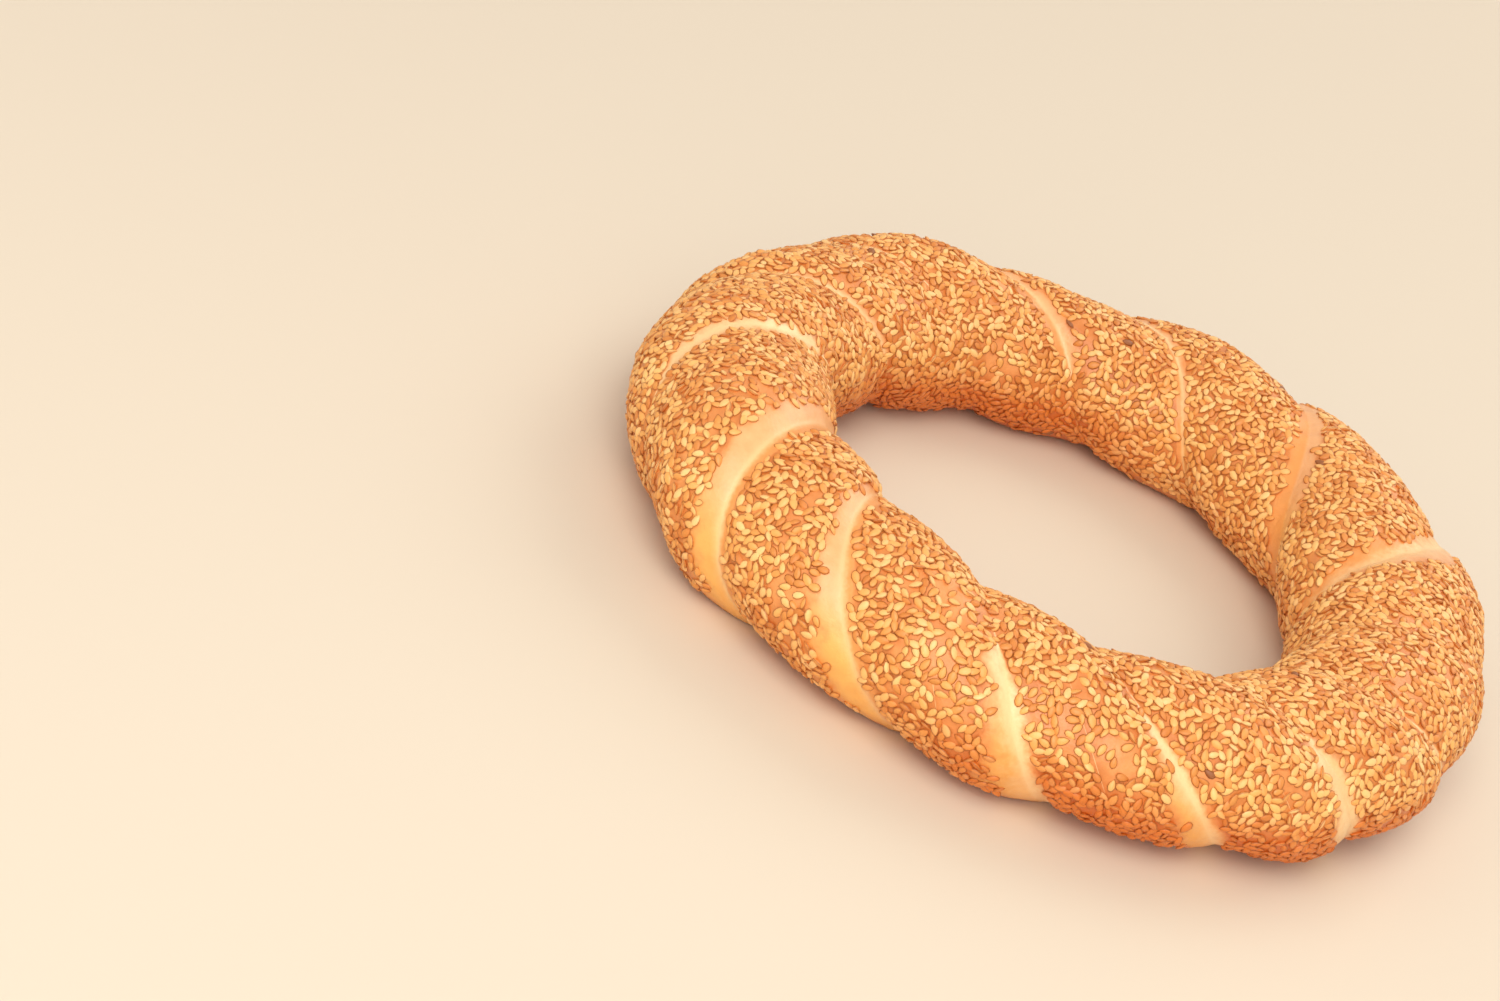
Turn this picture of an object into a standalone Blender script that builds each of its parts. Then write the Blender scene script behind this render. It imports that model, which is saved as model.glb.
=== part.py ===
"""Simit: two ropes of bread dough, twisted round each other and closed into a flat ring.

Metres, +Z up. The ring lies on z = 0 with the middle of its box on the Z axis. Angles are in degrees:
  ring angle    round the ring from -Y, growing counter-clockwise seen from above
  rope angle    round the rope's own section: 0 outwards, 90 up, 180 towards the hole, -90 down
  strand angle  round the section as the twist carries it: the two seams lie at 0 and 180
"""

import bpy
import numpy as np

# Ring and rope
RING_RADIUS = 0.075  # middle of the ring to the middle of the rope
ROPE_HALF_WIDTH = 0.0199  # the proofed dough slumps a little, so it is wider than tall
ROPE_HALF_HEIGHT = 0.0172
UNDERSIDE_FLAT = 0.0012  # depth of the underside that flattened against the baking tray

# Unevenness of a ring that is shaped by hand
THICK_SHARE = 0.06  # the rope is thicker on two opposite sides of the ring
THICK_ANGLE = 115  # ring angle of one thick side
CORNER_SHARE = 0.02  # the ring has three faint corners
CORNER_ANGLE = 40  # ring angle of one corner

# Twist: seven full turns, so fourteen times a seam comes over the top of the rope. Each entry gives its
# ring angle there, its depth, and the outer swell of the strand that lies between it and the next seam.
SEAMS = (
    (17, 0.0026, 0.0),
    (42, 0.0024, -0.0004),
    (62, 0.0022, -0.0009),
    (86, 0.0010, 0.0),
    (112, 0.0034, -0.0008),
    (150, 0.0038, 0.0010),
    (179, 0.0026, -0.0016),
    (205, 0.0034, 0.0034),
    (232, 0.0010, -0.0004),
    (256, 0.0034, -0.0010),
    (283, 0.0020, 0.0015),
    (311, 0.0028, -0.0012),
    (330, 0.0024, -0.0005),
    (356, 0.0030, -0.0020),
)
SWELL_START = -90  # rope angles between which the outer swell grows, below ...
SWELL_FULL = -55
SWELL_FADE = 60  # ... and fades again, over the top
SWELL_END = 130
SEAM_LEAN = 10  # how far a seam runs ahead on the outside of the ring and behind on the inside
CREST = 0.62  # place of a strand's crest between its two seams: past the middle, so strands overlap
CREST_ROUNDNESS = 0.6  # below 1, a strand is a full round back with narrow seams beside it

# Mesh of the torus, whose long edges follow the strands
RING_SEGMENTS = 196
ROPE_SEGMENTS = 24

# Finish of the baked crust
CRUST_COLOUR = (0.76, 0.36, 0.12, 1.0)
CRUST_ROUGHNESS = 0.45
CRUST_METALLIC = 0.0

HALF_TURN = 180
FULL_TURN = 360
STEPS_PER_SEAM = 40


def clear_scene():
    """Start from an empty file."""
    for item in list(bpy.data.objects):
        bpy.data.objects.remove(item, do_unlink=True)


def cosine(degrees):
    return np.cos(np.radians(degrees))


def sine(degrees):
    return np.sin(np.radians(degrees))


def half_turns(ring_angle):
    """Half turns of twist up to a ring angle: 0 at the first seam, one more at each later seam."""
    count = len(SEAMS)
    angles = np.array([angle for angle, _, _ in SEAMS], dtype=float)
    steps = np.arange(-2 * STEPS_PER_SEAM, (count + 2) * STEPS_PER_SEAM + 1) / STEPS_PER_SEAM
    before = np.floor(steps).astype(int)
    part = steps - before

    def seam(index):
        return angles[index % count] + FULL_TURN * (index // count)

    # A Catmull-Rom curve through the seams' ring angles keeps the twist smooth where they are uneven.
    leaving = (seam(before + 1) - seam(before - 1)) / 2
    arriving = (seam(before + 2) - seam(before)) / 2
    span = seam(before + 1) - seam(before)
    smooth = (
        seam(before)
        + leaving * part
        + (3 * span - 2 * leaving - arriving) * part**2
        + (leaving + arriving - 2 * span) * part**3
    )
    return np.interp(ring_angle, smooth, steps)


def rope_angle_of(strand_angle, twist):
    """Rope angle, from -90 to 270, where a strand angle lies after so many half turns of twist."""
    level = strand_angle + 90 - HALF_TURN * twist
    rope_angle = level
    for _ in range(8):
        rope_angle = level + SEAM_LEAN * cosine(rope_angle)
    return (rope_angle + 90) % FULL_TURN - 90


def seam_place(rope_angle, twist):
    """Number of the nearest seam as a running value: whole in a seam and a half midway between two."""
    return twist + (rope_angle - 90 - SEAM_LEAN * cosine(rope_angle)) / HALF_TURN


def between_seams(values, place):
    """Values given for each seam, read smoothly at running places round the closed ring."""
    count = len(SEAMS)
    return np.interp(place % count, np.arange(count + 1), np.append(values, values[0]))


def seam_depth(rope_angle, twist):
    """Depth of the seams near a point, which even out towards the hidden underside."""
    depths = np.array([depth for _, depth, _ in SEAMS])
    near = between_seams(depths, seam_place(rope_angle, twist))
    return depths.mean() + (near - depths.mean()) * (1 + sine(rope_angle)) / 2


def smooth_step(low, high, value):
    """0 up to low, 1 from high, and a smooth rise between."""
    share = np.clip((value - low) / (high - low), 0, 1)
    return share * share * (3 - 2 * share)


def outer_swell(rope_angle, twist):
    """How far a strand swells on the ring's outer side, where nothing held the rising dough."""
    swells = np.array([swell for _, _, swell in SEAMS])
    swell = between_seams(swells, seam_place(rope_angle, twist) - 0.5)
    grown = smooth_step(SWELL_START, SWELL_FULL, rope_angle)
    faded = smooth_step(SWELL_END, SWELL_FADE, rope_angle)
    return swell * grown * faded


def strand_height(strand_angle):
    """Height of a strand's back over its seams: 0 in the seam and 1 on the crest."""
    across = strand_angle % HALF_TURN / HALF_TURN
    leaned = across ** (np.log(0.5) / np.log(CREST))
    return np.clip(np.sin(np.pi * leaned), 0, 1) ** CREST_ROUNDNESS


def shape_ring(ring_angle, strand_angle):
    """Surface of the twisted ring, as x, y and z, for arrays of ring and strand angles."""
    twist = half_turns(ring_angle)
    rope_angle = rope_angle_of(strand_angle, twist)
    thickness = 1 + THICK_SHARE * cosine(2 * (ring_angle - THICK_ANGLE))
    middle = RING_RADIUS * (1 + CORNER_SHARE * cosine(3 * (ring_angle - CORNER_ANGLE)))

    mean_height = strand_height(np.arange(0.5, HALF_TURN)).mean()
    relief = seam_depth(rope_angle, twist) * (strand_height(strand_angle) - mean_height)
    relief = relief + outer_swell(rope_angle, twist)
    half_width = ROPE_HALF_WIDTH * thickness + relief
    half_height = ROPE_HALF_HEIGHT * thickness + relief

    radius = middle + half_width * cosine(rope_angle)
    lift = ROPE_HALF_HEIGHT * thickness - UNDERSIDE_FLAT
    height = np.maximum(lift + half_height * sine(rope_angle), 0)
    return radius * sine(ring_angle), -radius * cosine(ring_angle), height


def crust_material():
    """Browned, lightly glazed crust."""
    material = bpy.data.materials.new("crust")
    material.use_nodes = True
    shader = material.node_tree.nodes["Principled BSDF"]
    shader.inputs["Base Color"].default_value = CRUST_COLOUR
    shader.inputs["Roughness"].default_value = CRUST_ROUGHNESS
    shader.inputs["Metallic"].default_value = CRUST_METALLIC
    return material


def build_ring():
    """A torus whose points are moved onto the twisted ring, its rows running along the strands."""
    bpy.ops.mesh.primitive_torus_add(
        major_segments=RING_SEGMENTS,
        minor_segments=ROPE_SEGMENTS,
        major_radius=RING_RADIUS,
        minor_radius=ROPE_HALF_HEIGHT,
    )
    ring = bpy.context.object
    ring.name = "twisted_ring"
    mesh = ring.data
    mesh.name = ring.name

    points = np.empty(len(mesh.vertices) * 3)
    mesh.vertices.foreach_get("co", points)
    x, y, z = points.reshape(-1, 3).T
    ring_angle = np.degrees(np.arctan2(x, -y)) % FULL_TURN
    strand_angle = np.degrees(np.arctan2(z, np.hypot(x, y) - RING_RADIUS))
    shaped = np.stack(shape_ring(ring_angle, strand_angle), axis=1)
    shaped[:, :2] -= (shaped.min(axis=0) + shaped.max(axis=0))[:2] / 2  # its box centred on the Z axis
    mesh.vertices.foreach_set("co", shaped.ravel())

    mesh.materials.append(crust_material())
    mesh.shade_smooth()
    mesh.update()
    return ring


def main():
    clear_scene()
    simit = bpy.data.collections.new("simit")
    bpy.context.scene.collection.children.link(simit)
    ring = build_ring()
    for collection in list(ring.users_collection):
        collection.objects.unlink(ring)
    simit.objects.link(ring)


main()
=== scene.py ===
# %% [markdown]
# # A simit: a twisted sesame bread ring
#
# A simit is two ropes of bread dough twisted round each other, closed into a ring, dipped in thin grape
# molasses, rolled in sesame seeds and baked. Everything that the eye reads comes from three things: the
# twist, with its pale seams where the ropes part as the dough rises; the browned crust; and the seeds.
#
# This lesson makes the ring and the seeds with Geometry Nodes, because both follow rules, and finishes
# them with shader nodes. The imported model gives the place of the ring.

# %% Load the frame
import math

import bpy
from mathutils import Matrix, Vector


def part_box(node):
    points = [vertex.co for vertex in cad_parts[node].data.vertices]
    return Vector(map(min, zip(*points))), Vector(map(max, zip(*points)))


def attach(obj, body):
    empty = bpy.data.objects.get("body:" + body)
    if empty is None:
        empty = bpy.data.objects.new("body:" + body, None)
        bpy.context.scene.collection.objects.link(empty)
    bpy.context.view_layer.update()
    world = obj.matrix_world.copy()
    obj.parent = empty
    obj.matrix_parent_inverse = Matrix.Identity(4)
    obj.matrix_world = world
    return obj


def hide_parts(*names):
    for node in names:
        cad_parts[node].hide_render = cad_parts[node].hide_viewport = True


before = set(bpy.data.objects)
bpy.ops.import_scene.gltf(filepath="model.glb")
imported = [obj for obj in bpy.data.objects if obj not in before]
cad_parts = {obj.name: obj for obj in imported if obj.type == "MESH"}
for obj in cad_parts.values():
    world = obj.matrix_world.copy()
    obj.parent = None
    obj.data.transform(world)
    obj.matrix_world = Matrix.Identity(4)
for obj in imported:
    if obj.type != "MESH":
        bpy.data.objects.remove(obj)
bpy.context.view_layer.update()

NODE = "twisted_ring"
low, high = (Vector(corner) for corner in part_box(NODE))
centre = (low + high) / 2
print("ring box, mm:", [round(side * 1000, 1) for side in high - low])

# %% [markdown]
# ## Camera
#
# The ring is seen from a little above its plane, and the camera leans to one side, as when you look at
# something that lies propped on its neighbour. The camera is placed from the ring's own middle, in ring
# radii, so that it keeps its view if the ring changes size. A long lens keeps the far side large.

# %% Place the camera
RING_RADIUS = 0.075
CAMERA_PLACE = Vector((0.0, -8.149, 4.256))
CAMERA_RIGHT = Vector((0.8886, 0.2937, 0.353))
CAMERA_UP = Vector((-0.4504, 0.4068, 0.795))
CAMERA_VIEW_ANGLE = 26

ring_middle = Vector((0.0010, -0.0016, 0.016))
turn = Matrix((CAMERA_RIGHT, CAMERA_UP, CAMERA_RIGHT.cross(CAMERA_UP))).transposed()

camera_data = bpy.data.cameras.new("camera")
camera_data.angle = math.radians(CAMERA_VIEW_ANGLE)
camera = bpy.data.objects.new("camera", camera_data)
camera.matrix_world = turn.to_4x4()
camera.location = ring_middle + CAMERA_PLACE * RING_RADIUS
bpy.context.collection.objects.link(camera)
bpy.context.scene.camera = camera
print("camera distance, mm:", round((camera.location - ring_middle).length * 1000))

# %% [markdown]
# ## Small helpers for node trees
#
# A node tree built in a script is easiest to read when each line says one thing. `wire` feeds a socket
# from another socket or sets it to a plain value, and `add` makes a node and wires its inputs.

# %% Node helpers


def wire(tree, value, socket):
    """Feed a socket from another socket, or set it to a plain value."""
    if isinstance(value, bpy.types.NodeSocket):
        tree.links.new(value, socket)
    elif value is not None:
        socket.default_value = value


def add(tree, kind, inputs=None, **settings):
    """Make a node, choose its settings, and wire its inputs by name or number."""
    node = tree.nodes.new(kind)
    for name, value in settings.items():
        setattr(node, name, value)
    for name, value in (inputs or {}).items():
        wire(tree, value, node.inputs[name])
    return node


def calc(tree, operation, *values):
    """One step of arithmetic on numbers."""
    node = add(tree, "ShaderNodeMath", operation=operation)
    for slot, value in enumerate(values):
        wire(tree, value, node.inputs[slot])
    return node.outputs[0]


def curve(tree, value, points, handle="AUTO"):
    """A number read off a drawn curve: points are (in, out) pairs from 0 to 1."""
    node = add(tree, "ShaderNodeFloatCurve", {"Value": value})
    line = node.mapping.curves[0]
    while len(line.points) < len(points):
        line.points.new(0.5, 0.5)
    for point, place in zip(line.points, points):
        point.location = place
        point.handle_type = handle
    node.mapping.update()
    return node.outputs[0]


def group_input(tree, name, kind, value=None):
    """A named input of a node group, with its usual value."""
    socket = tree.interface.new_socket(name, in_out="INPUT", socket_type=kind)
    if value is not None:
        socket.default_value = value


def point_place(tree):
    """X, Y and Z of each point, inside a Geometry Nodes tree."""
    position = add(tree, "GeometryNodeInputPosition").outputs["Position"]
    return add(tree, "ShaderNodeSeparateXYZ", {"Vector": position}).outputs


def store(tree, geometry, name, value, **settings):
    """Store a value on the mesh under a name."""
    inputs = {"Geometry": geometry, "Name": name, "Value": value}
    return add(tree, "GeometryNodeStoreNamedAttribute", inputs, **settings).outputs["Geometry"]


# %% [markdown]
# ## The twist, as a rule
#
# Unroll the ring and its surface is a sheet: one way runs round the ring, the other round the rope. A flat
# grid stands for that sheet, and each of its points is moved to where the rule puts it. The grid's second
# direction doesn't run round the rope at a fixed place but turns with the twist, so the seams between the
# two strands lie exactly on two of its rows. That gives sharp, clean seams without a dense mesh.
#
# A sculpt or a swept curve would make a ring too, but the rule also knows, at each point, how far the
# nearest seam is. Those distances are stored as attributes, and the crust and the seeds read them later.
#
# Hands twist dough unevenly, so each seam has its own place over the top of the rope, depth and width.

# %% Sizes of the twist
ROPE_HALF_WIDTH = 0.0199
ROPE_HALF_HEIGHT = 0.0172
UNDERSIDE_FLAT = 0.0012
THICK_SHARE = 0.06
THICK_ANGLE = 115
CORNER_SHARE = 0.02
CORNER_ANGLE = 40
SEAM_LEAN = 10
CREST = 0.62
CREST_ROUNDNESS = 0.6
SEAM_FLOOR = 0.07

# For each seam: its ring angle over the top of the rope, its depth, the swell of the strand after it, the
# width of its cream line, the width free of seeds on the top and low on the outside, and the rope angles
# over which and under which the strands stay closed and seeded.
SEAMS = (
    (17, 0.0026, 0.0, 0.0028, 0.0026, 0.0068, 62, -90),
    (42, 0.0024, -0.0004, 0.0085, 0.0046, 0.0085, 60, -90),
    (62, 0.0022, -0.0009, 0.0010, 0.0014, 0.0030, 50, -90),
    (86, 0.0010, 0.0, 0.0008, 0.0012, 0.0030, 50, -90),
    (112, 0.0034, -0.0008, 0.0048, 0.0078, 0.0060, 265, -90),
    (150, 0.0038, 0.0010, 0.0001, 0.0040, 0.0050, 250, -90),
    (179, 0.0026, -0.0016, 0.0008, 0.0017, 0.0045, 190, -90),
    (205, 0.0034, 0.0034, 0.0016, 0.0036, 0.0055, 150, 30),
    (232, 0.0010, -0.0004, 0.0006, 0.0010, 0.0030, 90, -90),
    (256, 0.0034, -0.0010, 0.0008, 0.0016, 0.0045, 165, 75),
    (283, 0.0020, 0.0015, 0.0042, 0.0028, 0.0045, 132, 32),
    (311, 0.0028, -0.0012, 0.0020, 0.0070, 0.0080, 150, -90),
    (330, 0.0024, -0.0005, 0.0016, 0.0048, 0.0080, 120, -90),
    (356, 0.0030, -0.0020, 0.0046, 0.0042, 0.0120, 62, -90),
)
RING_STEPS = 700
ROPE_STEPS = 132

# How a seam's width changes along it and beside it.
CLOSING_SOFTNESS = 14.0  # degrees over which a seam closes
LOW_FROM, LOW_TO = 70.0, -40.0  # rope angles between which the low width takes over
CREAM_ON_TOP, CREAM_MORE_LOW = 0.85, 0.3
NARROWER_AFTER = -0.4  # share of its width that a seam loses on the strand after it ...
WIDER_BEFORE = 0.3  # ... and gains on the strand before it
WIDER_BEFORE_LOW = 0.25

# Soft wrinkles of the risen dough.
WRINKLE_HEIGHT = 0.0009
WRINKLE_SCALE = 140.0
FINE_WRINKLE_SCALE = 420.0
FINE_WRINKLE_SHARE = 0.45

# Where seeds hold on.
SEEDS_FROM_FLOOR = (0.0016, 0.0024)  # heights between which they begin, so none reaches below the tray
SEEDS_UPWARD = (-0.85, -0.58)
WELD_DISTANCE = 0.00001
SWELL_OFFSET = 0.005  # keeps the drawn curve's values above 0

print(len(SEAMS), "seams,", len(SEAMS) // 2, "full turns of twist")

# %% [markdown]
# The tree below is that rule, one small step after another. `Float Curve` nodes hold what is uneven: where
# each seam lies, and its depth, swell and width. A short loop finds the rope angle, since the seams lean
# forward on the outside of the ring by an amount that depends on that same angle.

# %% Build the twisted ring's tree


def seam_curve(tree, place, values, most):
    """A value given for each seam, blended from one seam to the next round the closed ring."""
    count = len(SEAMS)
    share = calc(tree, "FRACT", calc(tree, "DIVIDE", place, float(count)))
    points = [(n / count, values[n % count] / most) for n in range(count + 1)]
    return calc(tree, "MULTIPLY", curve(tree, share, points, "VECTOR"), most)


def smooth_step(tree, value, start, end):
    """0 before start, 1 after end, and a smooth rise between."""
    node = add(tree, "ShaderNodeMapRange", {"Value": value}, interpolation_type="SMOOTHSTEP")
    wire(tree, start, node.inputs["From Min"])
    wire(tree, end, node.inputs["From Max"])
    return node.outputs["Result"]


def degrees_wave(tree, operation, value):
    """Sine or cosine of an angle in degrees."""
    return calc(tree, operation, calc(tree, "RADIANS", value))


def strand_back(across):
    """Height of a strand's back for a place across it from 0 to 1, as plain arithmetic."""
    leaned = across ** (math.log(0.5) / math.log(CREST))
    return (math.sin(math.pi * leaned) ** 2 + SEAM_FLOOR**2) ** (CREST_ROUNDNESS / 2)


def named(tree, name):
    """Read a value stored on the mesh, inside a Geometry Nodes tree."""
    return add(tree, "GeometryNodeInputNamedAttribute", {"Name": name}).outputs["Attribute"]


def seed_cover(tree):
    """Share of the crust that seeds hold on to, from 0 to 1, read from the values stored on the ring."""
    wander = add(tree, "ShaderNodeTexNoise", {"Scale": 220.0, "Detail": 2.0}).outputs["Fac"]
    wander = calc(tree, "MULTIPLY_ADD", wander, 1.6, 0.2)
    clear = calc(tree, "MULTIPLY_ADD", named(tree, "bare_width"), wander, 0.0002)
    cover = smooth_step(tree, calc(tree, "DIVIDE", named(tree, "seam_distance"), clear), 0.75, 1.3)
    cover = calc(tree, "MULTIPLY", cover, smooth_step(tree, named(tree, "upward"), *SEEDS_UPWARD))
    place = point_place(tree)
    cover = calc(tree, "MULTIPLY", cover, smooth_step(tree, place["Z"], *SEEDS_FROM_FLOOR))
    thin = add(tree, "ShaderNodeTexNoise", {"Scale": 75.0, "Detail": 1.0}).outputs["Fac"]
    thin = calc(tree, "MULTIPLY_ADD", smooth_step(tree, thin, 0.3, 0.45), 0.3, 0.7)
    rubbed = calc(tree, "MULTIPLY", smooth_step(tree, named(tree, "crest"), 0.9, 1.0), 0.2)
    rubbed = calc(tree, "MULTIPLY", rubbed, smooth_step(tree, named(tree, "outward"), -0.1, 0.5))
    return calc(tree, "MULTIPLY", calc(tree, "MULTIPLY", cover, thin), calc(tree, "SUBTRACT", 1.0, rubbed))


def twisted_ring_tree():
    tree = bpy.data.node_groups.new("twisted ring", "GeometryNodeTree")
    group_input(tree, "Geometry", "NodeSocketGeometry")
    group_input(tree, "Ring Radius", "NodeSocketFloat", RING_RADIUS)
    group_input(tree, "Rope Half Width", "NodeSocketFloat", ROPE_HALF_WIDTH)
    group_input(tree, "Rope Half Height", "NodeSocketFloat", ROPE_HALF_HEIGHT)
    group_input(tree, "Underside Flat", "NodeSocketFloat", UNDERSIDE_FLAT)
    group_input(tree, "Wrinkle Height", "NodeSocketFloat", WRINKLE_HEIGHT)
    group_input(tree, "Crust", "NodeSocketMaterial")
    tree.interface.new_socket("Geometry", in_out="OUTPUT", socket_type="NodeSocketGeometry")
    given = add(tree, "NodeGroupInput").outputs

    # The unrolled sheet, and its two directions from 0 to 1.
    sheet = add(
        tree,
        "GeometryNodeMeshGrid",
        {"Size X": 1.0, "Size Y": 1.0, "Vertices X": RING_STEPS + 1, "Vertices Y": ROPE_STEPS + 1},
    )
    place = point_place(tree)
    round_ring = calc(tree, "ADD", place["X"], 0.5)
    round_strand = calc(tree, "ADD", place["Y"], 0.5)

    # Ring angle, and half turns of twist so far. The drawn curve runs past both ends of the sheet, so the
    # twist is as smooth where the sheet closes as anywhere else.
    count = len(SEAMS)
    start = SEAMS[-1][0] - 360
    ring_angle = calc(tree, "MULTIPLY_ADD", round_ring, 360.0, float(start))
    numbers = range(-3, count + 2)
    angles = [SEAMS[n % count][0] + 360 * (n // count) for n in numbers]
    span, most = angles[-1] - angles[0], len(numbers) - 1
    steps = [((angle - angles[0]) / span, n / most) for n, angle in enumerate(angles)]
    share = calc(tree, "DIVIDE", calc(tree, "SUBTRACT", ring_angle, float(angles[0])), float(span))
    twist = calc(tree, "MULTIPLY_ADD", curve(tree, share, steps), float(most), float(numbers[0]))

    # Rope angle: 0 outwards, 90 up, 180 towards the hole.
    strand_angle = calc(tree, "MULTIPLY", round_strand, 360.0)
    level = calc(tree, "ADD", calc(tree, "MULTIPLY_ADD", twist, -180.0, 90.0), strand_angle)
    rope_angle = level
    for _ in range(4):
        lean = degrees_wave(tree, "COSINE", rope_angle)
        rope_angle = calc(tree, "MULTIPLY_ADD", lean, float(SEAM_LEAN), level)
    rope_angle = calc(tree, "WRAP", rope_angle, 270.0, -90.0)
    outward = degrees_wave(tree, "COSINE", rope_angle)
    upward = degrees_wave(tree, "SINE", rope_angle)

    # Running number of the nearest seam, and the place across the strand from one seam to the next.
    behind = calc(tree, "SUBTRACT", rope_angle, 90.0)
    behind = calc(tree, "MULTIPLY_ADD", outward, -float(SEAM_LEAN), behind)
    seam_place = calc(tree, "ADD", twist, calc(tree, "DIVIDE", behind, 180.0))
    across = calc(tree, "FRACT", calc(tree, "MULTIPLY", round_strand, 2.0))

    # Relief of the strands: seam depth times the height of the back, and the outer swell.
    leaned = calc(tree, "POWER", across, math.log(0.5) / math.log(CREST))
    back = calc(tree, "SINE", calc(tree, "MULTIPLY", leaned, math.pi))
    back = calc(tree, "MULTIPLY_ADD", back, back, SEAM_FLOOR**2)
    back = calc(tree, "POWER", back, CREST_ROUNDNESS / 2)
    samples = 180
    mean_back = sum(strand_back((n + 0.5) / samples) for n in range(samples)) / samples
    depths = [seam[1] for seam in SEAMS]
    mean_depth = sum(depths) / count
    depth = calc(tree, "SUBTRACT", seam_curve(tree, seam_place, depths, 0.01), mean_depth)
    depth = calc(tree, "MULTIPLY", depth, calc(tree, "MULTIPLY_ADD", upward, 0.5, 0.5))
    depth = calc(tree, "ADD", depth, mean_depth)
    relief = calc(tree, "MULTIPLY", depth, calc(tree, "SUBTRACT", back, mean_back))
    swells = [seam[2] + SWELL_OFFSET for seam in SEAMS]
    swell = seam_curve(tree, calc(tree, "SUBTRACT", seam_place, 0.5), swells, 0.01)
    swell = calc(tree, "SUBTRACT", swell, SWELL_OFFSET)
    swell = calc(tree, "MULTIPLY", swell, smooth_step(tree, rope_angle, -90.0, -55.0))
    swell = calc(tree, "MULTIPLY", swell, smooth_step(tree, rope_angle, 130.0, 60.0))
    relief = calc(tree, "ADD", relief, swell)

    # Section and centre line of the uneven ring.
    wave = degrees_wave(tree, "COSINE", calc(tree, "MULTIPLY_ADD", ring_angle, 2.0, -2.0 * THICK_ANGLE))
    thickness = calc(tree, "MULTIPLY_ADD", wave, THICK_SHARE, 1.0)
    wave = degrees_wave(tree, "COSINE", calc(tree, "MULTIPLY_ADD", ring_angle, 3.0, -3.0 * CORNER_ANGLE))
    cornered = calc(tree, "MULTIPLY_ADD", wave, CORNER_SHARE, 1.0)
    middle = calc(tree, "MULTIPLY", cornered, given["Ring Radius"])
    half_width = calc(tree, "MULTIPLY_ADD", given["Rope Half Width"], thickness, relief)
    half_height = calc(tree, "MULTIPLY", given["Rope Half Height"], thickness)
    radius = calc(tree, "MULTIPLY_ADD", outward, half_width, middle)
    lift = calc(tree, "SUBTRACT", half_height, given["Underside Flat"])
    height = calc(tree, "MULTIPLY_ADD", upward, calc(tree, "ADD", half_height, relief), lift)
    x = calc(tree, "MULTIPLY", radius, degrees_wave(tree, "SINE", ring_angle))
    away = calc(tree, "MULTIPLY", radius, -1.0)
    y = calc(tree, "MULTIPLY", away, degrees_wave(tree, "COSINE", ring_angle))
    spot = add(tree, "ShaderNodeCombineXYZ", {"X": x, "Y": y, "Z": height})

    # Distance to the nearest seam, square to it, and how wide that seam's pale dough is.
    middle_size = 0.5 * math.pi * (ROPE_HALF_WIDTH + ROPE_HALF_HEIGHT)
    reach = calc(tree, "MULTIPLY", calc(tree, "MULTIPLY_ADD", outward, 0.09, 0.49), middle_size)
    nearest = calc(tree, "MINIMUM", across, calc(tree, "SUBTRACT", 1.0, across))
    seam_distance = calc(tree, "MULTIPLY", nearest, reach)
    side = calc(tree, "SINE", calc(tree, "MULTIPLY", across, 2 * math.pi))
    number = calc(tree, "ROUND", seam_place)
    low_down = smooth_step(tree, rope_angle, LOW_FROM, LOW_TO)
    cream = seam_curve(tree, number, [seam[3] for seam in SEAMS], 0.01)
    cream_change = calc(tree, "MULTIPLY_ADD", low_down, CREAM_MORE_LOW, CREAM_ON_TOP)
    cream = calc(tree, "MULTIPLY", cream, cream_change)
    bare = seam_curve(tree, number, [seam[4] for seam in SEAMS], 0.01)
    bare_low = seam_curve(tree, number, [seam[5] for seam in SEAMS], 0.01)
    bare = calc(tree, "MULTIPLY_ADD", calc(tree, "SUBTRACT", bare_low, bare), low_down, bare)

    # On the outside, the bare dough is wider on the strand before the seam than on the one after it.
    before_seam = smooth_step(tree, side, 0.0, -0.3)
    outside = smooth_step(tree, rope_angle, 130.0, 60.0)
    narrower = calc(tree, "MULTIPLY", outside, NARROWER_AFTER)
    wider = calc(tree, "MULTIPLY", outside, WIDER_BEFORE)
    wider = calc(tree, "MULTIPLY_ADD", low_down, WIDER_BEFORE_LOW, wider)
    change = calc(tree, "MULTIPLY_ADD", calc(tree, "SUBTRACT", wider, narrower), before_seam, narrower)
    bare = calc(tree, "MULTIPLY_ADD", bare, change, bare)

    # Each seam is open only between the rope angles where its strands close over and under.
    closed_from = seam_curve(tree, number, [seam[6] for seam in SEAMS], 360.0)
    past_closed = calc(tree, "SUBTRACT", rope_angle, closed_from)
    opened = smooth_step(tree, past_closed, CLOSING_SOFTNESS, -CLOSING_SOFTNESS)
    closed_under = seam_curve(tree, number, [(seam[7] + 90) / 360 for seam in SEAMS], 1.0)
    closed_under = calc(tree, "MULTIPLY_ADD", closed_under, 360.0, -90.0)
    past_under = calc(tree, "SUBTRACT", rope_angle, closed_under)
    above_closed = smooth_step(tree, past_under, -CLOSING_SOFTNESS, CLOSING_SOFTNESS)
    opened = calc(tree, "MULTIPLY", opened, above_closed)
    under = smooth_step(tree, rope_angle, -85.0, -50.0)
    opened = calc(tree, "MULTIPLY", opened, under)
    half_open = calc(tree, "MULTIPLY", opened, 0.5)

    geometry = sheet.outputs["Mesh"]
    stored = {
        "seam_distance": seam_distance,
        "seam_side": side,
        "cream_width": calc(tree, "MULTIPLY", cream, half_open),
        "bare_width": calc(tree, "MULTIPLY", bare, half_open),
        "crest": back,
        "outward": outward,
        "upward": upward,
    }
    for name, value in stored.items():
        geometry = store(tree, geometry, name, value)
    moved = add(tree, "GeometryNodeSetPosition", {"Geometry": geometry, "Position": spot.outputs[0]})

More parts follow.
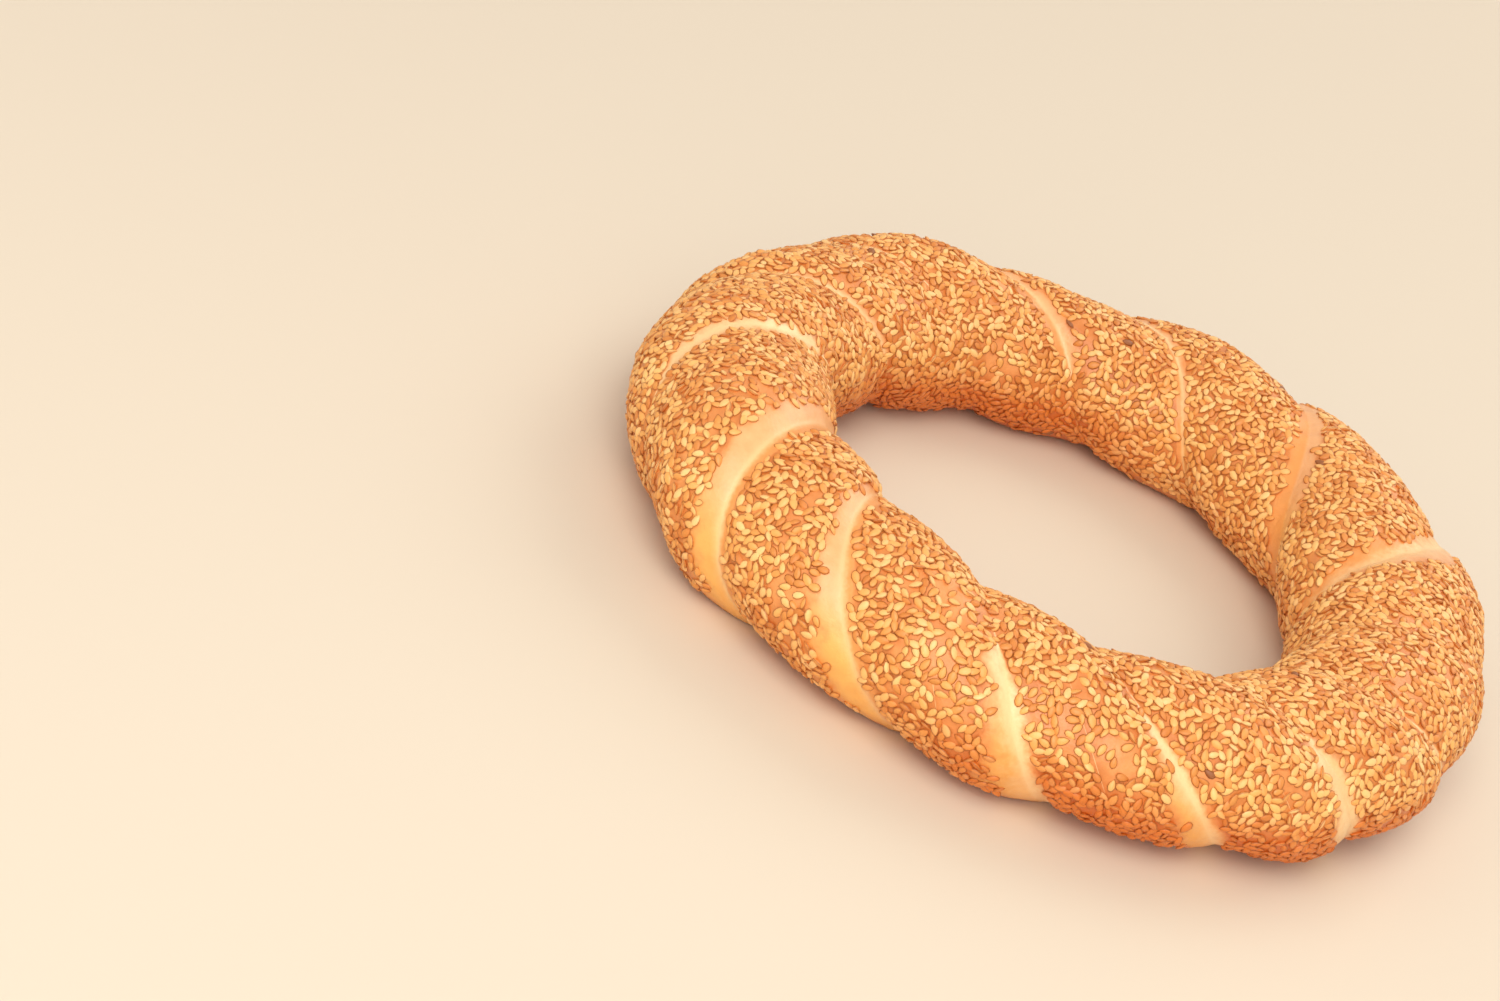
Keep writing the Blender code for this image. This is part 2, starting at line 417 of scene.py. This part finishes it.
    # Close the sheet into a ring, and give the risen dough its soft wrinkles before the underside flattens.
    weld = {"Geometry": moved.outputs[0], "Distance": WELD_DISTANCE}
    closed = add(tree, "GeometryNodeMergeByDistance", weld)
    noise = add(tree, "ShaderNodeTexNoise", {"Scale": WRINKLE_SCALE, "Detail": 4.0, "Roughness": 0.55})
    fine = add(tree, "ShaderNodeTexNoise", {"Scale": FINE_WRINKLE_SCALE, "Detail": 2.0})
    both = calc(tree, "MULTIPLY_ADD", fine.outputs["Fac"], FINE_WRINKLE_SHARE, noise.outputs["Fac"])
    mean_noise = 0.5 * (1 + FINE_WRINKLE_SHARE)
    rise = calc(tree, "MULTIPLY", calc(tree, "SUBTRACT", both, mean_noise), given["Wrinkle Height"])
    out = add(tree, "ShaderNodeVectorMath", operation="SCALE")
    wire(tree, add(tree, "GeometryNodeInputNormal").outputs[0], out.inputs[0])
    wire(tree, rise, out.inputs["Scale"])
    wrinkle = {"Geometry": closed.outputs[0], "Offset": out.outputs[0]}
    wrinkled = add(tree, "GeometryNodeSetPosition", wrinkle)
    now = point_place(tree)
    floor_height = calc(tree, "MAXIMUM", now["Z"], 0.0)
    rested = add(tree, "ShaderNodeCombineXYZ", {"X": now["X"], "Y": now["Y"], "Z": floor_height}).outputs[0]
    flat = add(tree, "GeometryNodeSetPosition", {"Geometry": wrinkled.outputs[0], "Position": rested})

    covered = store(tree, flat.outputs[0], "seed_cover", seed_cover(tree))
    smooth = add(tree, "GeometryNodeSetShadeSmooth", {"Geometry": covered})
    real = add(tree, "GeometryNodeRealizeInstances", {"Geometry": smooth.outputs[0]})
    coated = add(tree, "GeometryNodeSetMaterial", {"Geometry": real.outputs[0], "Material": given["Crust"]})
    wire(tree, coated.outputs[0], add(tree, "NodeGroupOutput").inputs["Geometry"])
    return tree


ring_tree = twisted_ring_tree()
print("twisted ring tree:", len(ring_tree.nodes), "nodes")

# %% [markdown]
# ## Shared effects for the finishes
#
# Baking browns everything unevenly, so the crust and the seeds share one effect for it: soft patches made
# of two noises, a broad one for the oven's hot spots and a finer one for the dough's own bubbles. A second
# shared effect is the fine grain of a dry surface. A third darkens the low faces, partly as browning by the
# hot tray and partly as painted shade, and browns the top a little. It darkens low faces turned to the left
# less, which paints the light falling on that side. As groups, each is built once and given its own values
# in each material.

# %% Build the shared shader groups


def attribute(tree, name):
    """A value stored on the mesh."""
    return add(tree, "ShaderNodeAttribute", attribute_name=name).outputs["Fac"]


def bake_patches_group():
    """Soft patches of browning: a mask from 0, pale, to 1, brown."""
    tree = bpy.data.node_groups.new("bake patches", "ShaderNodeTree")
    group_input(tree, "Broad Scale", "NodeSocketFloat", 25.0)
    group_input(tree, "Fine Scale", "NodeSocketFloat", 300.0)
    group_input(tree, "Fine Share", "NodeSocketFloat", 0.4)
    group_input(tree, "Contrast", "NodeSocketFloat", 2.5)
    tree.interface.new_socket("Mask", in_out="OUTPUT", socket_type="NodeSocketFloat")
    given = add(tree, "NodeGroupInput").outputs
    place = add(tree, "ShaderNodeTexCoord").outputs["Object"]
    broad = add(tree, "ShaderNodeTexNoise", {"Vector": place, "Scale": given["Broad Scale"], "Detail": 2.0})
    fine = add(tree, "ShaderNodeTexNoise", {"Vector": place, "Scale": given["Fine Scale"], "Detail": 3.0})
    broad_share = calc(tree, "SUBTRACT", 1.0, given["Fine Share"])
    broad_part = calc(tree, "MULTIPLY", broad.outputs["Fac"], broad_share)
    mixed = calc(tree, "MULTIPLY_ADD", fine.outputs["Fac"], given["Fine Share"], broad_part)
    stretched = calc(tree, "MULTIPLY_ADD", calc(tree, "SUBTRACT", mixed, 0.5), given["Contrast"], 0.5)
    clamped = add(tree, "ShaderNodeClamp", {"Value": stretched})
    wire(tree, clamped.outputs[0], add(tree, "NodeGroupOutput").inputs["Mask"])
    return tree


def fine_grain_group():
    """Fine grain of a dry surface, as a height for a Bump node."""
    tree = bpy.data.node_groups.new("fine grain", "ShaderNodeTree")
    group_input(tree, "Scale", "NodeSocketFloat", 1500.0)
    group_input(tree, "Roughness", "NodeSocketFloat", 0.6)
    tree.interface.new_socket("Height", in_out="OUTPUT", socket_type="NodeSocketFloat")
    given = add(tree, "NodeGroupInput").outputs
    place = add(tree, "ShaderNodeTexCoord").outputs["Object"]
    noise = add(
        tree,
        "ShaderNodeTexNoise",
        {"Vector": place, "Scale": given["Scale"], "Detail": 3.0, "Roughness": given["Roughness"]},
    )
    wire(tree, noise.outputs["Fac"], add(tree, "NodeGroupOutput").inputs["Height"])
    return tree


def oven_heat_and_shade_group():
    """Darker low down, partly as the hot tray's browning and partly as painted shade, and a little browner
    on top.
    """
    tree = bpy.data.node_groups.new("oven heat", "ShaderNodeTree")
    group_input(tree, "Low Share", "NodeSocketFloat", 0.7)
    group_input(tree, "Top Share", "NodeSocketFloat", 0.15)
    tree.interface.new_socket("Mask", in_out="OUTPUT", socket_type="NodeSocketFloat")
    given = add(tree, "NodeGroupInput").outputs
    # Low faces darken, partly as browning by the tray and partly as painted shade.
    low_side = smooth_step(tree, attribute(tree, "upward"), 0.45, -0.35)
    top_side = smooth_step(tree, attribute(tree, "upward"), 0.1, 0.8)
    place = add(tree, "ShaderNodeTexCoord").outputs["Object"]
    place = add(tree, "ShaderNodeSeparateXYZ", {"Vector": place}).outputs
    # Painted light: low faces turned to the left, the lit side, are darkened less.
    to_right = calc(tree, "DIVIDE", place["X"], RING_RADIUS)
    facing = calc(tree, "MULTIPLY", attribute(tree, "outward"), to_right)
    facing_left = smooth_step(tree, facing, 0.22, -0.25)
    low_side = calc(tree, "MULTIPLY", low_side, calc(tree, "MULTIPLY_ADD", facing_left, -0.7, 1.0))
    mask = calc(tree, "MULTIPLY", top_side, given["Top Share"])
    mask = calc(tree, "MAXIMUM", mask, calc(tree, "MULTIPLY", low_side, given["Low Share"]))
    wire(tree, mask, add(tree, "NodeGroupOutput").inputs["Mask"])
    return tree


bake_patches = bake_patches_group()
fine_grain = fine_grain_group()
oven_heat_and_shade = oven_heat_and_shade_group()
print("shared groups:", bake_patches.name, "and", fine_grain.name, "and", oven_heat_and_shade.name)

# %% [markdown]
# ## Colours
#
# Bread colours are easiest to choose as they look on a screen, while shaders work in linear light. A small
# helper converts one to the other. `blend` mixes two colours by a mask.

# %% Colour helpers


def screen(red, green, blue):
    """A colour as it looks on a screen, 0 to 255 each, in the linear values that a shader needs."""
    shares = [value / 255 for value in (red, green, blue)]
    linear = [s / 12.92 if s <= 0.04045 else ((s + 0.055) / 1.055) ** 2.4 for s in shares]
    return (*linear, 1.0)


def blend(tree, mask, first, second):
    """Mix two colours: first where the mask is 0, second where it is 1."""
    node = add(tree, "ShaderNodeMix", data_type="RGBA", clamp_factor=True)
    wire(tree, mask, node.inputs["Factor"])
    wire(tree, first, node.inputs[6])
    wire(tree, second, node.inputs[7])
    return node.outputs[2]


def new_material(name):
    material = bpy.data.materials.new(name)
    material.use_nodes = True
    return material, material.node_tree, material.node_tree.nodes["Principled BSDF"]


LOW_HEAT_AND_SHADE = 0.92  # how far the low sides are browned by the tray and darkened by painted shade ...
TOP_HEAT = 0.18  # ... and the tops

# The orange below is partly painted shade on the side after a seam, and the rose is a painted sheen where
# the flank faces up.
ORANGE_AND_SHADE = screen(238, 160, 84)
HONEY = screen(247, 184, 97)
AMBER = screen(214, 130, 66)
# The brown below darkens the low faces, partly as browning by the tray and partly as painted shade.
BROWN = screen(206, 98, 28)
CREAM = screen(252, 214, 154)
ROSE_SHEEN = screen(246, 184, 124)
print("six crust colours, from cream to brown")

# %% [markdown]
# ## The crust
#
# The molasses wash browns fast and gives the crust a soft gloss. Where the ropes part in the oven, fresh
# dough shows: cream in the groove itself and honey on the flank. Where the flank faces up it turns rose, a
# painted sheen, and the side where the next strand begins is orange, partly the dough's colour and partly
# painted shade in the groove. The stored distance to the seam drives that change, with a little noise so
# its edge wanders. A tear whose cream line takes up much of its width looks freshest, and the bare dough
# beside it takes less of the low browning and painted shade than the seeded crust. Among the seeds the
# crust is darker, partly painted shade, and where seeds are missing it is lighter, partly a painted sheen.

# %% Crust material


def crust_material():
    material, tree, shader = new_material("crust")
    patches = add(
        tree,
        "ShaderNodeGroup",
        {"Broad Scale": 30.0, "Fine Scale": 420.0, "Fine Share": 0.5, "Contrast": 3.0},
        node_tree=bake_patches,
    )
    # Painted shade and sheen: the crust among the seeds is darker, partly as painted shade between them, and
    # the crust bare of seeds is lighter, partly as a painted sheen.
    shaded_crust_among_seeds = blend(tree, patches.outputs["Mask"], screen(230, 151, 79), screen(202, 117, 51))
    bare_crust_with_sheen = blend(tree, patches.outputs["Mask"], screen(244, 170, 101), screen(230, 146, 79))
    seeded = smooth_step(tree, attribute(tree, "seed_cover"), 0.55, 1.0)
    colour = blend(tree, seeded, bare_crust_with_sheen, shaded_crust_among_seeds)

    # Painted shade: this mask darkens the low faces, partly as the tray's browning and partly as painted
    # shade.
    heat_and_shade = add(tree, "ShaderNodeGroup", {"Low Share": LOW_HEAT_AND_SHADE, "Top Share": TOP_HEAT}, node_tree=oven_heat_and_shade)

    place = add(tree, "ShaderNodeTexCoord").outputs["Object"]
    wander = add(tree, "ShaderNodeTexNoise", {"Vector": place, "Scale": 190.0, "Detail": 5.0})
    wander = wander.outputs["Fac"]
    wander = calc(tree, "MULTIPLY_ADD", wander, 2.4, -0.1)
    rough = add(tree, "ShaderNodeTexNoise", {"Vector": place, "Scale": 800.0, "Detail": 3.0}).outputs["Fac"]
    rough = calc(tree, "SUBTRACT", rough, 0.5)
    distance = attribute(tree, "seam_distance")
    bare = calc(tree, "MULTIPLY_ADD", attribute(tree, "bare_width"), wander, 0.0001)
    cream = calc(tree, "MULTIPLY_ADD", attribute(tree, "cream_width"), wander, 0.00003)
    bare_share = calc(tree, "DIVIDE", distance, bare)
    after = smooth_step(tree, attribute(tree, "seam_side"), -0.1, 0.1)
    signed = calc(tree, "MULTIPLY", distance, calc(tree, "MULTIPLY_ADD", after, 2.0, -1.0))
    from_cream = calc(tree, "ABSOLUTE", calc(tree, "MULTIPLY_ADD", cream, 0.25, signed))
    cream_share = calc(tree, "MULTIPLY_ADD", rough, 1.6, calc(tree, "DIVIDE", from_cream, cream))
    # Painted sheen and shade: the bare flank turns rose where it faces up, and the side after the seam is
    # orange, partly the dough's colour and partly painted shade in the groove.
    high_up = smooth_step(tree, attribute(tree, "upward"), -0.1, 0.7)
    flank_with_sheen = blend(tree, high_up, HONEY, ROSE_SHEEN)
    slope = blend(tree, after, flank_with_sheen, ORANGE_AND_SHADE)
    slope = blend(tree, calc(tree, "MULTIPLY", patches.outputs["Mask"], 0.3), slope, AMBER)
    colour = blend(tree, smooth_step(tree, bare_share, 1.6, 0.6), colour, slope)
    risen = add(tree, "ShaderNodeTexNoise", {"Vector": place, "Scale": 45.0, "Detail": 2.0}).outputs["Fac"]
    risen = calc(tree, "MULTIPLY_ADD", smooth_step(tree, risen, 0.35, 0.65), 0.32, 0.68)
    cream_mask = calc(tree, "MULTIPLY", smooth_step(tree, cream_share, 1.9, 0.1), risen)
    cream_part = calc(tree, "DIVIDE", attribute(tree, "cream_width"), attribute(tree, "bare_width"))
    cream_mask = calc(tree, "MULTIPLY", cream_mask, smooth_step(tree, cream_part, 0.0, 0.7))
    colour = blend(tree, cream_mask, colour, CREAM)
    # The low browning and painted shade is weaker on the bare dough beside a seam.
    shielded = calc(tree, "MULTIPLY_ADD", smooth_step(tree, bare_share, 1.6, 0.6), -0.75, 1.0)
    colour = blend(tree, calc(tree, "MULTIPLY", heat_and_shade.outputs["Mask"], shielded), colour, BROWN)
    wire(tree, colour, shader.inputs["Base Color"])

    gloss = calc(tree, "MULTIPLY_ADD", patches.outputs["Mask"], -0.1, 0.42)
    gloss = calc(tree, "MULTIPLY_ADD", seeded, 0.08, gloss)
    wire(tree, gloss, shader.inputs["Roughness"])
    grain = add(tree, "ShaderNodeGroup", {"Scale": 1300.0}, node_tree=fine_grain)
    relief = {"Height": grain.outputs["Height"], "Distance": 0.0002, "Strength": 0.6}
    bump = add(tree, "ShaderNodeBump", relief)
    wire(tree, bump.outputs[0], shader.inputs["Normal"])
    return material


crust = crust_material()
print("crust material:", len(crust.node_tree.nodes), "nodes")

# %% [markdown]
# ## Make the ring's mesh
#
# The tree runs as a modifier on an empty mesh, and the result is kept as a plain mesh. That mesh is then
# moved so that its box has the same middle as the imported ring's box, and stands for it from here on.

# %% Make the ring


def run_tree(name, tree, values, mesh=None):
    """Run a Geometry Nodes tree on a mesh and keep the result as a plain mesh of its own object."""
    carrier = bpy.data.objects.new(name, mesh or bpy.data.meshes.new(name))
    bpy.context.collection.objects.link(carrier)
    modifier = carrier.modifiers.new("shape", "NODES")
    modifier.node_group = tree
    sockets = {item.name: item.identifier for item in tree.interface.items_tree if item.in_out == "INPUT"}
    for label, value in values.items():
        modifier[sockets[label]] = value
    seen = carrier.evaluated_get(bpy.context.evaluated_depsgraph_get())
    result = bpy.data.meshes.new_from_object(seen)
    carrier.modifiers.remove(modifier)
    carrier.data = result
    result.name = name
    return carrier


ring = run_tree("twisted_bread_ring", ring_tree, {"Crust": crust})
corners = [Vector(corner) for corner in ring.bound_box]
own_low = Vector(min(corner[axis] for corner in corners) for axis in range(3))
own_high = Vector(max(corner[axis] for corner in corners) for axis in range(3))
shift = centre - (own_low + own_high) / 2
shift.z = low.z - own_low.z
ring.data.transform(Matrix.Translation(shift))
print("ring faces:", len(ring.data.polygons), "moved by, mm:", [round(part * 1000, 2) for part in shift])

# %% [markdown]
# ## Sesame seeds
#
# A sesame seed is a flat teardrop, here about 2.7 mm long, 1.7 mm wide and 0.85 mm thick. The wash glues
# seeds down as they fall: flat on the crust, turned any way, close together but hardly ever stacked. They
# end where the dough has torn open at the seams, because that dough was inside when the ring was rolled,
# and just above the tray.
#
# A Poisson scatter keeps the seeds apart by a least distance, as real ones lie. One small mesh is shaped
# from a sphere and instanced on every point. Seeds come in five kinds of toasting; each kind is a piece
# of its own, picked from the same scatter by a random number, so no two seeds fall in the same place.

# %% Sizes of the seeds
SEED_LENGTH = 0.0027
SEED_WIDTH = 0.0017
SEED_THICKNESS = 0.00085
SEED_SPACING = 0.00150
SEED_KINDS = 5
SCATTER_DENSITY = 3000000.0  # per square metre, so the spacing alone limits the scatter
SEED_SIZES = (0.85, 1.12)  # smallest and largest, as a share of the usual seed
RAISED_SHARE = 0.2  # how far a seed's middle stands over the crust, in thicknesses
FULL_TURN = 6.283  # radians
RIM_SEGMENTS = 8
RIM_RINGS = 5
SEED_TRIANGLES = 2 * RIM_SEGMENTS * (RIM_RINGS - 1)
print("seed, mm:", SEED_LENGTH * 1000, "x", SEED_WIDTH * 1000, "x", SEED_THICKNESS * 1000)

# %% Build the seeds' tree


def one_seed(tree, given):
    """A teardrop from a small sphere: narrow towards +X, flat in Z, and wider at its base than on top, a
    skirt that carries the painted shadow round the seed.
    """
    sphere = {"Segments": RIM_SEGMENTS, "Rings": RIM_RINGS, "Radius": 0.5}
    ball = add(tree, "GeometryNodeMeshUVSphere", sphere).outputs["Mesh"]
    turned = add(tree, "GeometryNodeTransform", {"Geometry": ball, "Rotation": (0, math.pi / 2, 0)})
    place = point_place(tree)
    along = calc(tree, "ADD", place["X"], 0.5)
    taper = curve(tree, along, [(0.0, 1.0), (0.35, 1.0), (0.75, 0.78), (1.0, 0.5)])
    # Painted shadow: the lower half is widened into a skirt, which the finish darkens as the shade round the
    # seed.
    shadow_foot = calc(tree, "MULTIPLY_ADD", calc(tree, "LESS_THAN", place["Z"], 0.1), 0.12, 0.96)
    x = calc(tree, "MULTIPLY", calc(tree, "MULTIPLY", place["X"], shadow_foot), given["Seed Length"])
    y = calc(tree, "MULTIPLY", calc(tree, "MULTIPLY", place["Y"], taper), given["Seed Width"])
    y = calc(tree, "MULTIPLY", y, shadow_foot)
    z = calc(tree, "MULTIPLY", calc(tree, "MULTIPLY", place["Z"], taper), given["Seed Thickness"])
    shape = add(tree, "ShaderNodeCombineXYZ", {"X": x, "Y": y, "Z": z})
    across = calc(tree, "MULTIPLY", calc(tree, "ABSOLUTE", place["Z"]), 2.0)
    geometry = turned.outputs[0]
    geometry = store(tree, geometry, "seed_along", along)
    geometry = store(tree, geometry, "seed_shadow_rim", calc(tree, "SUBTRACT", 1.0, across))
    shaped = add(tree, "GeometryNodeSetPosition", {"Geometry": geometry, "Position": shape.outputs[0]})
    return add(tree, "GeometryNodeSetShadeSmooth", {"Geometry": shaped.outputs[0]}).outputs[0]


def random_number(tree, low, high, seed):
    node = add(tree, "FunctionNodeRandomValue", data_type="FLOAT")
    wire(tree, low, node.inputs[2])
    wire(tree, high, node.inputs[3])
    wire(tree, seed, node.inputs["Seed"])
    return node.outputs[1]


def seeds_tree():
    tree = bpy.data.node_groups.new("sesame seeds", "GeometryNodeTree")
    group_input(tree, "Geometry", "NodeSocketGeometry")
    group_input(tree, "Seed Length", "NodeSocketFloat", SEED_LENGTH)
    group_input(tree, "Seed Width", "NodeSocketFloat", SEED_WIDTH)
    group_input(tree, "Seed Thickness", "NodeSocketFloat", SEED_THICKNESS)
    group_input(tree, "Spacing", "NodeSocketFloat", SEED_SPACING)
    group_input(tree, "Kind", "NodeSocketInt", 0)
    group_input(tree, "Kinds", "NodeSocketInt", SEED_KINDS)
    group_input(tree, "Scatter Seed", "NodeSocketInt", 7)
    group_input(tree, "Sesame", "NodeSocketMaterial")
    tree.interface.new_socket("Geometry", in_out="OUTPUT", socket_type="NodeSocketGeometry")
    given = add(tree, "NodeGroupInput").outputs

    points = add(
        tree,
        "GeometryNodeDistributePointsOnFaces",
        {
            "Mesh": given["Geometry"],
            "Distance Min": given["Spacing"],
            "Density Max": SCATTER_DENSITY,
            "Density Factor": named(tree, "seed_cover"),
            "Seed": given["Scatter Seed"],
        },
        distribute_method="POISSON",
    )

    # Keep the points of one kind.
    kinds = calc(tree, "SUBTRACT", given["Kinds"], 0.001)
    drawn = calc(tree, "FLOOR", random_number(tree, 0.0, kinds, 11))
    other = add(tree, "FunctionNodeCompare", data_type="FLOAT", operation="NOT_EQUAL")
    wire(tree, drawn, other.inputs[0])
    wire(tree, given["Kind"], other.inputs[1])
    wire(tree, 0.5, other.inputs["Epsilon"])
    kept = add(tree, "GeometryNodeDeleteGeometry", {"Geometry": points.outputs["Points"]}, domain="POINT")
    wire(tree, other.outputs[0], kept.inputs["Selection"])

    # Turn each seed any way round on the crust. Most lie nearly flat; a few lean on their neighbours.
    lean = calc(tree, "POWER", random_number(tree, -1.0, 1.0, 3), 3.0)
    roll = calc(tree, "MULTIPLY_ADD", lean, 0.8, random_number(tree, -0.15, 0.15, 4))
    pitch = random_number(tree, -0.25, 0.25, 6)
    heading = random_number(tree, 0.0, FULL_TURN, 8)
    euler = add(tree, "ShaderNodeCombineXYZ", {"X": roll, "Y": pitch, "Z": heading})
    euler = add(tree, "FunctionNodeEulerToRotation", {"Euler": euler.outputs[0]})
    turned = add(
        tree,
        "FunctionNodeRotateRotation",
        {"Rotation": points.outputs["Rotation"], "Rotate By": euler.outputs[0]},
        rotation_space="LOCAL",
    )
    seed_size = random_number(tree, *SEED_SIZES, 5)
    placed = add(
        tree,
        "GeometryNodeInstanceOnPoints",
        {
            "Points": kept.outputs[0],
            "Instance": one_seed(tree, given),
            "Rotation": turned.outputs[0],
            "Scale": seed_size,
        },
    )
    tone = random_number(tree, 0.0, 1.0, 21)
    toned = store(tree, placed.outputs[0], "seed_tone", tone, domain="INSTANCE")
    rise = calc(tree, "MULTIPLY", given["Seed Thickness"], RAISED_SHARE)
    lift = add(tree, "ShaderNodeCombineXYZ", {"Z": rise})
    raised = add(
        tree,
        "GeometryNodeTranslateInstances",
        {"Instances": toned, "Translation": lift.outputs[0], "Local Space": True},
    )
    real = add(tree, "GeometryNodeRealizeInstances", {"Geometry": raised.outputs[0]})
    coat = {"Geometry": real.outputs[0], "Material": given["Sesame"]}
    coated = add(tree, "GeometryNodeSetMaterial", coat)
    wire(tree, coated.outputs[0], add(tree, "NodeGroupOutput").inputs["Geometry"])
    return tree


sesame_tree = seeds_tree()
print("sesame seeds tree:", len(sesame_tree.nodes), "nodes")

# %% [markdown]
# ## Sesame finish
#
# Toasting takes a seed from cream through straw to amber, deepest at its pointed end, where it is thinnest.
# Each kind has its own pair of colours, and every seed its own tone between them. A band round each seed's
# middle, on its wider base, is darkened as painted shadow of the crevice round the seed, and a very few
# seeds are burnt.

# %% Sesame materials and pieces


def sesame_material(name, pale, dark):
    material, tree, shader = new_material(name)
    tone = attribute(tree, "seed_tone")
    tip = smooth_step(tree, attribute(tree, "seed_along"), 0.55, 1.0)
    patches = add(
        tree,
        "ShaderNodeGroup",
        {"Broad Scale": 60.0, "Fine Scale": 900.0, "Fine Share": 0.5, "Contrast": 2.0},
        node_tree=bake_patches,
    )
    mask = calc(tree, "MULTIPLY_ADD", tone, 0.6, calc(tree, "MULTIPLY", patches.outputs["Mask"], 0.25))
    mask = calc(tree, "MULTIPLY_ADD", tip, 0.3, mask)
    colour = blend(tree, mask, pale, dark)
    # Painted shade: the seeds on the low faces darken with the same mask, partly browning and partly painted
    # shade.
    heat_and_shade = add(tree, "ShaderNodeGroup", {"Low Share": LOW_HEAT_AND_SHADE, "Top Share": TOP_HEAT}, node_tree=oven_heat_and_shade)
    colour = blend(tree, heat_and_shade.outputs["Mask"], colour, screen(215, 110, 30))
    # Painted shadow: the band round each seed's middle, on its wider base, is darkened as the shade in the
    # crevice round it.
    rim_shadow = calc(tree, "MULTIPLY", smooth_step(tree, attribute(tree, "seed_shadow_rim"), 0.45, 0.95), 0.75)
    colour = blend(tree, rim_shadow, colour, screen(170, 94, 38))
    burnt = calc(tree, "GREATER_THAN", tone, 0.9985)
    colour = blend(tree, burnt, colour, screen(150, 88, 44))
    wire(tree, colour, shader.inputs["Base Color"])
    wire(tree, calc(tree, "MULTIPLY_ADD", tone, 0.15, 0.38), shader.inputs["Roughness"])
    grain = add(tree, "ShaderNodeGroup", {"Scale": 2500.0}, node_tree=fine_grain)
    relief = {"Height": grain.outputs["Height"], "Distance": 0.00008, "Strength": 0.4}
    bump = add(tree, "ShaderNodeBump", relief)
    wire(tree, bump.outputs[0], shader.inputs["Normal"])
    return material


SEED_COLOURS = {
    "pale": (screen(254, 210, 139), screen(244, 186, 107)),
    "straw": (screen(251, 202, 125), screen(238, 172, 89)),
    "golden": (screen(247, 192, 111), screen(232, 158, 77)),
    "amber": (screen(242, 178, 97), screen(222, 142, 63)),
    "toasted": (screen(232, 160, 81), screen(202, 116, 45)),
}
seed_pieces = []
for kind, (tone, (pale, dark)) in enumerate(SEED_COLOURS.items()):
    finish = sesame_material("sesame_" + tone, pale, dark)
    values = {"Kind": kind, "Sesame": finish}
    seeds = run_tree("sesame_seeds_" + tone, sesame_tree, values, ring.data.copy())
    seed_pieces.append(seeds)
    triangles = sum(len(face.vertices) - 2 for face in seeds.data.polygons)
    print(seeds.name, triangles // SEED_TRIANGLES, "seeds,", triangles, "triangles")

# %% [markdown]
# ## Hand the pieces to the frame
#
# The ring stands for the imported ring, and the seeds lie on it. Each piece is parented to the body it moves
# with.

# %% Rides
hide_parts(NODE)
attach(ring, "root")
for seeds in seed_pieces:
    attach(seeds, "root")
print(1 + len(seed_pieces), "pieces ride on the root body")

# %% [markdown]
# ## Floor and light
#
# Food looks fresh in bright, even light: a pale warm floor, a bright sky all round, and large soft lights.
# The key light hangs high in front of the ring, the front one stands lower and lights the sides, the back
# one brightens the far side, and a faint one on the left keeps the shadows there open.

# %% Floor and light


def floor_material():
    material, tree, shader = new_material("pale_floor")
    shader.inputs["Base Color"].default_value = screen(222, 206, 184)
    shader.inputs["Roughness"].default_value = 0.7
    return material


floor_mesh = bpy.data.meshes.new("floor")
FLOOR_EDGE = 2.5
floor_corners = [(-FLOOR_EDGE, -FLOOR_EDGE, 0), (FLOOR_EDGE, -FLOOR_EDGE, 0)]
floor_corners += [(FLOOR_EDGE, FLOOR_EDGE, 0), (-FLOOR_EDGE, FLOOR_EDGE, 0)]
floor_mesh.from_pydata(floor_corners, [], [(0, 1, 2, 3)])
floor_mesh.materials.append(floor_material())
floor = bpy.data.objects.new("floor", floor_mesh)
bpy.context.collection.objects.link(floor)


def soft_light(name, place, size, power, colour):
    """A square soft light that faces the ring."""
    data = bpy.data.lights.new(name, "AREA")
    data.size = size
    data.energy = power
    data.color = colour
    light = bpy.data.objects.new(name, data)
    light.location = place
    light.rotation_euler = (ring_middle - Vector(place)).to_track_quat("-Z", "Y").to_euler()
    bpy.context.collection.objects.link(light)
    return light


soft_light("key", (-0.1, -0.75, 1.1), 0.8, 7.0, (1.0, 0.97, 0.93))
soft_light("back", (0.5, 0.9, 0.9), 0.9, 6.0, (1.0, 0.96, 0.90))
soft_light("left", (-1.0, -0.5, 0.6), 1.0, 0.5, (1.0, 0.98, 0.95))
soft_light("front", (0.15, -1.1, 0.7), 1.0, 7.7, (1.0, 0.98, 0.95))

world = bpy.data.worlds.new("bright studio")
world.use_nodes = True
world.node_tree.nodes["Background"].inputs["Color"].default_value = (1.0, 0.99, 0.97, 1.0)
world.node_tree.nodes["Background"].inputs["Strength"].default_value = 0.6
bpy.context.scene.world = world
bpy.context.scene.view_settings.view_transform = "Standard"
print("floor, four soft lights and a bright sky")
